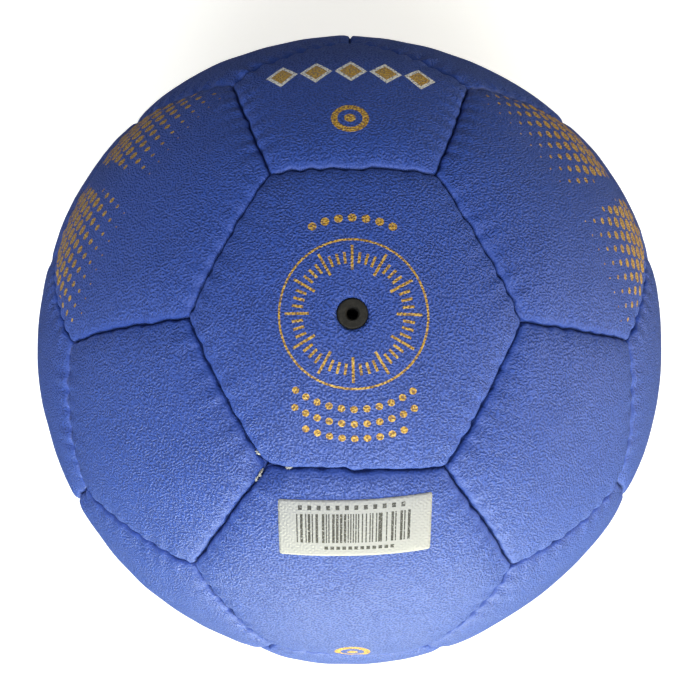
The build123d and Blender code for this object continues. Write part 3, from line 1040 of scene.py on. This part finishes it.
# ---- label ---------------------------------------------------------------------------------------------------
def build_label():
    w, h, turn_by = 33.0, 14.4, math.radians(2.5)
    out = unit((0.0056, -0.4871, 0.8733))
    ax = unit((math.cos(turn_by), math.sin(turn_by) * out[2], -math.sin(turn_by) * out[1]))
    ay = np.cross(out, ax)
    rng = np.random.default_rng(23)
    # plain bars of mixed width, and rows of small blocks above and below them
    bars, x = [], -12.6
    while x < 12.4:
        wide = float(rng.choice([0.28, 0.28, 0.56, 0.56, 0.84]))
        bars.append((x, min(x + wide, 12.6)))
        x += wide + float(rng.choice([0.27, 0.27, 0.27, 0.54, 0.81]))
    xs = {-w / 2, w / 2}
    for a, b in bars:
        xs |= {round(a, 3), round(b, 3)}
    rules = [(float(v), float(v) + 0.85, 4.85, 5.95) for v in np.arange(-12.2, 11.0, 2.0)]
    rules += [(float(v), float(v) + 0.8, -5.45, -4.55) for v in np.arange(-6.6, 9.0, 1.3)]
    for a, b, _, _ in rules:
        xs |= {round(a, 3), round(b, 3)}
    xs = sorted(xs | {round(v, 3) for v in np.linspace(-w / 2, w / 2, 60)})
    xs = np.array([v for k, v in enumerate(xs) if k == 0 or v - xs[k - 1] > 1e-6])
    ys = {-h / 2, h / 2, -3.6, 3.9}
    for _, _, a, b in rules:
        ys |= {a, b}
    ys = np.array(sorted(ys | {round(v, 3) for v in np.linspace(-h / 2, h / 2, 27)}))
    gx, gy = np.meshgrid(xs, ys, indexing="ij")

    def rounded(px, py, r=0.5):
        """Draws the corners of the rectangle in to an arc."""
        cx, cy = w / 2 - r, h / 2 - r
        ox, oy = np.maximum(np.abs(px) - cx, 0), np.maximum(np.abs(py) - cy, 0)
        far = np.maximum(np.hypot(ox, oy), 1e-9)
        k = np.where((ox > 0) & (oy > 0), np.maximum(ox, oy) / far, 1.0)
        return (
            np.sign(px) * (np.minimum(np.abs(px), cx) + ox * k),
            np.sign(py) * (np.minimum(np.abs(py), cy) + oy * k),
        )

    fx, fy = rounded(gx.ravel(), gy.ravel())
    panel = panels["hex_panel_04"]

    def surface(lift):
        # the paper is cut a little askew
        sx = fx + 0.05 * fy
        z = np.sqrt(R**2 - sx**2 - fy**2)
        p = sx[:, None] * ax + (fy + 0.75)[:, None] * ay + z[:, None] * out
        d = p / np.linalg.norm(p, axis=1, keepdims=True)
        return d * (R + panel.height(panel.flat(drifted(d, -1.0))) + lift)[:, None]

    edge = np.minimum(w / 2 - np.abs(gx.ravel()), h / 2 - np.abs(gy.ravel()))
    curl = 0.05 * np.exp(-edge / 0.5)
    nx, ny = len(xs), len(ys)
    top, low = surface(0.16 - curl), surface(0.05 - curl * 0.4)
    grid = np.arange(nx * ny).reshape(nx, ny)
    quads = np.stack([grid[:-1, :-1], grid[1:, :-1], grid[1:, 1:], grid[:-1, 1:]], 2).reshape(-1, 4)
    border = np.concatenate([grid[:-1, 0], grid[-1, :-1], grid[:0:-1, -1], grid[0, :0:-1]])
    nxt = np.roll(border, -1)
    size = nx * ny
    sides = np.stack([border, border + size, nxt + size, nxt], 1)
    faces = np.concatenate([quads, quads[:, ::-1] + size, sides])
    mx = (xs[1:] + xs[:-1]) / 2
    my = (ys[1:] + ys[:-1]) / 2
    ink = np.zeros((nx - 1, ny - 1))
    tall = (my > -3.6) & (my < 3.9)
    for a, b in bars:
        ink[np.ix_((mx > a) & (mx < b), tall)] = 1
    for a, b, c, d in rules:
        ink[np.ix_((mx > a) & (mx < b), (my > c) & (my < d))] = 1
    ink = np.concatenate([ink.ravel(), np.zeros(len(quads) + len(sides))])
    obj = write_mesh("paper_label", np.concatenate([top, low]), faces, (), (("ink", ink),))
    obj.data.materials.append(label_material())
    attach(obj, "ball")
    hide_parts("label")


build_label()


# ---- stitches that show at the worn corner ----------------------------------------------------------------------
def cord_mesh(paths):
    """Two-ply twisted thread along each path, closed at both ends."""
    verts, faces, at = [], [], 0
    for path in paths:
        path = np.asarray(path, float)
        steps = 34
        t = np.linspace(0, 1, len(path))
        fine = np.stack([np.interp(np.linspace(0, 1, steps), t, path[:, k]) for k in range(3)], 1)
        for _ in range(3):
            fine[1:-1] = (fine[:-2] + 2 * fine[1:-1] + fine[2:]) / 4
        ahead = np.gradient(fine, axis=0)
        ahead /= np.linalg.norm(ahead, axis=1, keepdims=True)
        up = fine / np.linalg.norm(fine, axis=1, keepdims=True)
        side = np.cross(ahead, up)
        side /= np.linalg.norm(side, axis=1, keepdims=True)
        up = np.cross(side, ahead)
        run = np.r_[0, np.cumsum(np.linalg.norm(np.diff(fine, axis=0), axis=1))]
        for ply in (0, math.pi):
            g = run / 1.3 * 2 * math.pi + ply
            mid = fine + 0.15 * (np.cos(g)[:, None] * side + np.sin(g)[:, None] * up)
            around = np.linspace(0, 2 * math.pi, 12, endpoint=False)
            taper = np.ones(steps)
            taper[0] = taper[-1] = 0.55
            loops = mid[:, None] + 0.2 * taper[:, None, None] * (
                np.cos(around)[None, :, None] * side[:, None]
                + np.sin(around)[None, :, None] * up[:, None]
            )
            verts.append(loops.reshape(-1, 3))
            verts.append(mid[[0, -1]])
            for k in range(steps - 1):
                for j in range(12):
                    a, b = at + k * 12 + j, at + k * 12 + (j + 1) % 12
                    faces += [(a, b, b + 12), (a, b + 12, a + 12)]
            end = at + steps * 12
            for j in range(12):
                faces.append((end, at + (j + 1) % 12, at + j))
                k = at + (steps - 1) * 12
                faces.append((end + 1, k + j, k + (j + 1) % 12))
            at += steps * 12 + 2
    return np.concatenate(verts), np.array(faces)


def stitch_path(towards, off_corner, lay, depth, half):
    """A short run of thread in a seam, off_corner mm from the worn corner."""
    start, end = drifted(corners[[OPEN_CORNER, towards]])
    along = unit(end - (end @ start) * start)
    t = off_corner / R
    mid = math.cos(t) * start + math.sin(t) * along
    way = -math.sin(t) * start + math.cos(t) * along
    across = np.cross(mid, way)
    points = []
    for k in np.linspace(-1, 1, 9):
        flat = k * half * (math.cos(lay) * way + math.sin(lay) * across)
        sink = depth + 1.5 * abs(k) ** 2.5
        points.append(mid * (R - sink) + flat)
    return points


near = sorted(range(len(corners)), key=lambda k: -corners[k] @ corners[OPEN_CORNER])[1:4]
by_turn = sorted(near, key=lambda k: corners[k][0])
up_left, below, right = by_turn[0], by_turn[1], by_turn[2]
visible = [
    stitch_path(up_left, 2.6, 0.35, 1.15, 0.85),
    stitch_path(up_left, 4.2, 0.5, 1.25, 0.75),
    stitch_path(right, 5.0, 0.3, 1.15, 0.85),
    stitch_path(below, 3.4, 0.5, 1.1, 0.75),
]
thread = thread_material()
bits = write_mesh("corner_stitches", *cord_mesh(visible))
bits.data.materials.append(thread)
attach(bits, "ball")

# ---- materials of the pieces that keep their own shape ---------------------------------------------------------------
foam = plain_material("foam_backing", linear(214, 206, 188), 0.85, 1.6, 0.0004, 0.2)
cloth = plain_material("cloth_lining", linear(206, 200, 186), 0.8, 1.4, 0.0002, 0.25, weave=True)
latex = plain_material("latex_bladder", linear(188, 164, 122), 0.55, 0.8, 0.0002, 0.4)
patch = plain_material("patch_rubber", linear(120, 100, 80), 0.6, 1.2, 0.0002, 0.35)
valve_rubber = valve_material()
KEPT = {
    "bladder": latex,
    "valve_patch": patch,
    "balance_patch": patch,
    "valve_housing": valve_rubber,
    "valve_core": valve_rubber,
}


def follow_cover(node, name, material, drop=0.0):
    """A layer or thread of the frame, moved with the sewn cover above it."""
    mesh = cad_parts[node].data
    mesh.calc_loop_triangles()
    verts = np.empty(len(mesh.vertices) * 3, np.float32)
    mesh.vertices.foreach_get("co", verts)
    tris = np.empty(len(mesh.loop_triangles) * 3, np.int32)
    mesh.loop_triangles.foreach_get("vertices", tris)
    verts = verts.reshape(-1, 3).astype(float) * 1000
    _, keep, back = np.unique(
        np.round(verts * 2000).astype(np.int64), axis=0, return_index=True, return_inverse=True
    )
    verts, tris = verts[keep], back.ravel()[tris].reshape(-1, 3)
    whole = (tris[:, 0] != tris[:, 1]) & (tris[:, 1] != tris[:, 2]) & (tris[:, 0] != tris[:, 2])
    far = np.linalg.norm(verts, axis=1)
    dirs = verts / far[:, None]
    far = far - drop + np.clip((far - 88.8) / 3.6, 0, 1) * sunk(dirs)
    obj = write_mesh(name, drifted(dirs) * far[:, None], tris[whole])
    obj.data.set_sharp_from_angle(angle=math.radians(35))
    obj.data.materials.append(material)
    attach(obj, "ball")
    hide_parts(node)


follow_cover("hex_foam_backings", "hex_foam", foam)
follow_cover("pent_foam_backings", "pent_foam", foam)
follow_cover("hex_cloth_linings", "hex_lining", cloth)
follow_cover("pent_cloth_linings", "pent_lining", cloth)
follow_cover("hex_hex_seam_threads", "hex_hex_thread", thread, 0.6)
follow_cover("hex_pent_seam_threads", "hex_pent_thread", thread, 0.6)
for node, material in KEPT.items():
    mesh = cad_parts[node].data
    mesh.materials.clear()
    mesh.materials.append(material)


# ---- floor, lights and camera ------------------------------------------------------------------------------------------
def build_stage():
    g = Graph("pale_floor")
    at = g.object_mm()
    tone = g.noise(at, 0.01, 2.0)
    g.put(g.bsdf.inputs["Base Color"], g.shade((0.94, 0.94, 0.94, 1.0), 0.985 + tone * 0.03))
    g.bsdf.inputs["Roughness"].default_value = 0.8
    g.bsdf.inputs["Specular IOR Level"].default_value = 0.2
    # a faint glow of its own keeps the far floor as white as the near floor
    x, y, _ = g.parts(at)
    away = g.math("SQRT", x * x + y * y)
    g.bsdf.inputs["Emission Color"].default_value = (0.98, 0.99, 1, 1)
    g.put(g.bsdf.inputs["Emission Strength"], 0.52 + g.smooth(300.0, 1500.0, away) * 0.35)
    s, z = 6000.0, 1000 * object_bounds()[0][2] - 0.02
    floor = write_mesh(
        "floor", [(-s, -s, z), (s, -s, z), (s, s, z), (-s, s, z)], np.array([[0, 1, 2, 3]])
    )
    floor.data.materials.append(g.mat)
    floor.visible_glossy = False


def softbox(name, at, aim, size, power, colour=(1, 1, 1)):
    light = bpy.data.lights.new(name, "AREA")
    light.shape = "RECTANGLE"
    light.size, light.size_y = size
    light.energy = power
    light.color = colour
    obj = bpy.data.objects.new(name, light)
    obj.location = at
    obj.rotation_euler = (Vector(aim) - Vector(at)).to_track_quat("-Z", "Y").to_euler()
    obj.visible_camera = False
    bpy.context.scene.collection.objects.link(obj)


build_stage()
softbox("key", (0.1, -0.9, 0.02), (0, 0, 0), (1.2, 0.2), 12.3, (1.0, 1.0, 0.7))
softbox("floor_bounce", (0.0, -0.4, -0.07), (0, -0.04, 0), (0.5, 0.06), 0.95, (1.0, 1.0, 0.5))
softbox("front", (0.0, -0.65, 0.8), (0, 0, 0), (0.6, 0.4), 9.2, (0.97, 0.99, 1.0))
softbox("top", (0.0, -0.25, 1.07), (0, 0, 0), (0.8, 0.8), 2.3, (0.97, 0.99, 1.0))
softbox("right", (0.95, 0.0, 0.35), (0, 0, 0), (0.6, 0.9), 5.1, (1.0, 0.87, 0.62))
softbox("right_low", (0.85, -0.4, 0.08), (0, 0, 0), (0.7, 0.3), 1.9, (1.0, 0.8, 0.45))
softbox("left", (-0.95, 0.0, 0.35), (0, 0, 0), (0.6, 0.9), 2.0, (0.96, 0.98, 0.9))

world = bpy.data.worlds.new("studio")
world.use_nodes = True
world.node_tree.nodes["Background"].inputs["Color"].default_value = (1, 1, 1, 1)
world.node_tree.nodes["Background"].inputs["Strength"].default_value = 0.86
scene = bpy.context.scene
scene.world = world
# the pale backdrop is only seen; the softboxes light the ball
for rays in ("diffuse", "glossy", "transmission", "scatter"):
    setattr(world.cycles_visibility, rays, False)
scene.view_settings.view_transform = "Standard"
scene.view_settings.look = "None"

camera = bpy.data.cameras.new("camera")
camera.lens = 42.285
camera.sensor_width = 36.0
camera.clip_start = 0.01
camera.clip_end = 50.0
eye = bpy.data.objects.new("camera", camera)
eye.matrix_world = Matrix(
    (
        (0.9999721, 0.0026242, -0.0069875, -0.0017252),
        (-0.0031570, 0.9969973, -0.0773724, -0.0207282),
        (0.0067635, 0.0773923, 0.9969778, 0.2627316),
        (0, 0, 0, 1),
    )
)
scene.collection.objects.link(eye)
scene.camera = eye
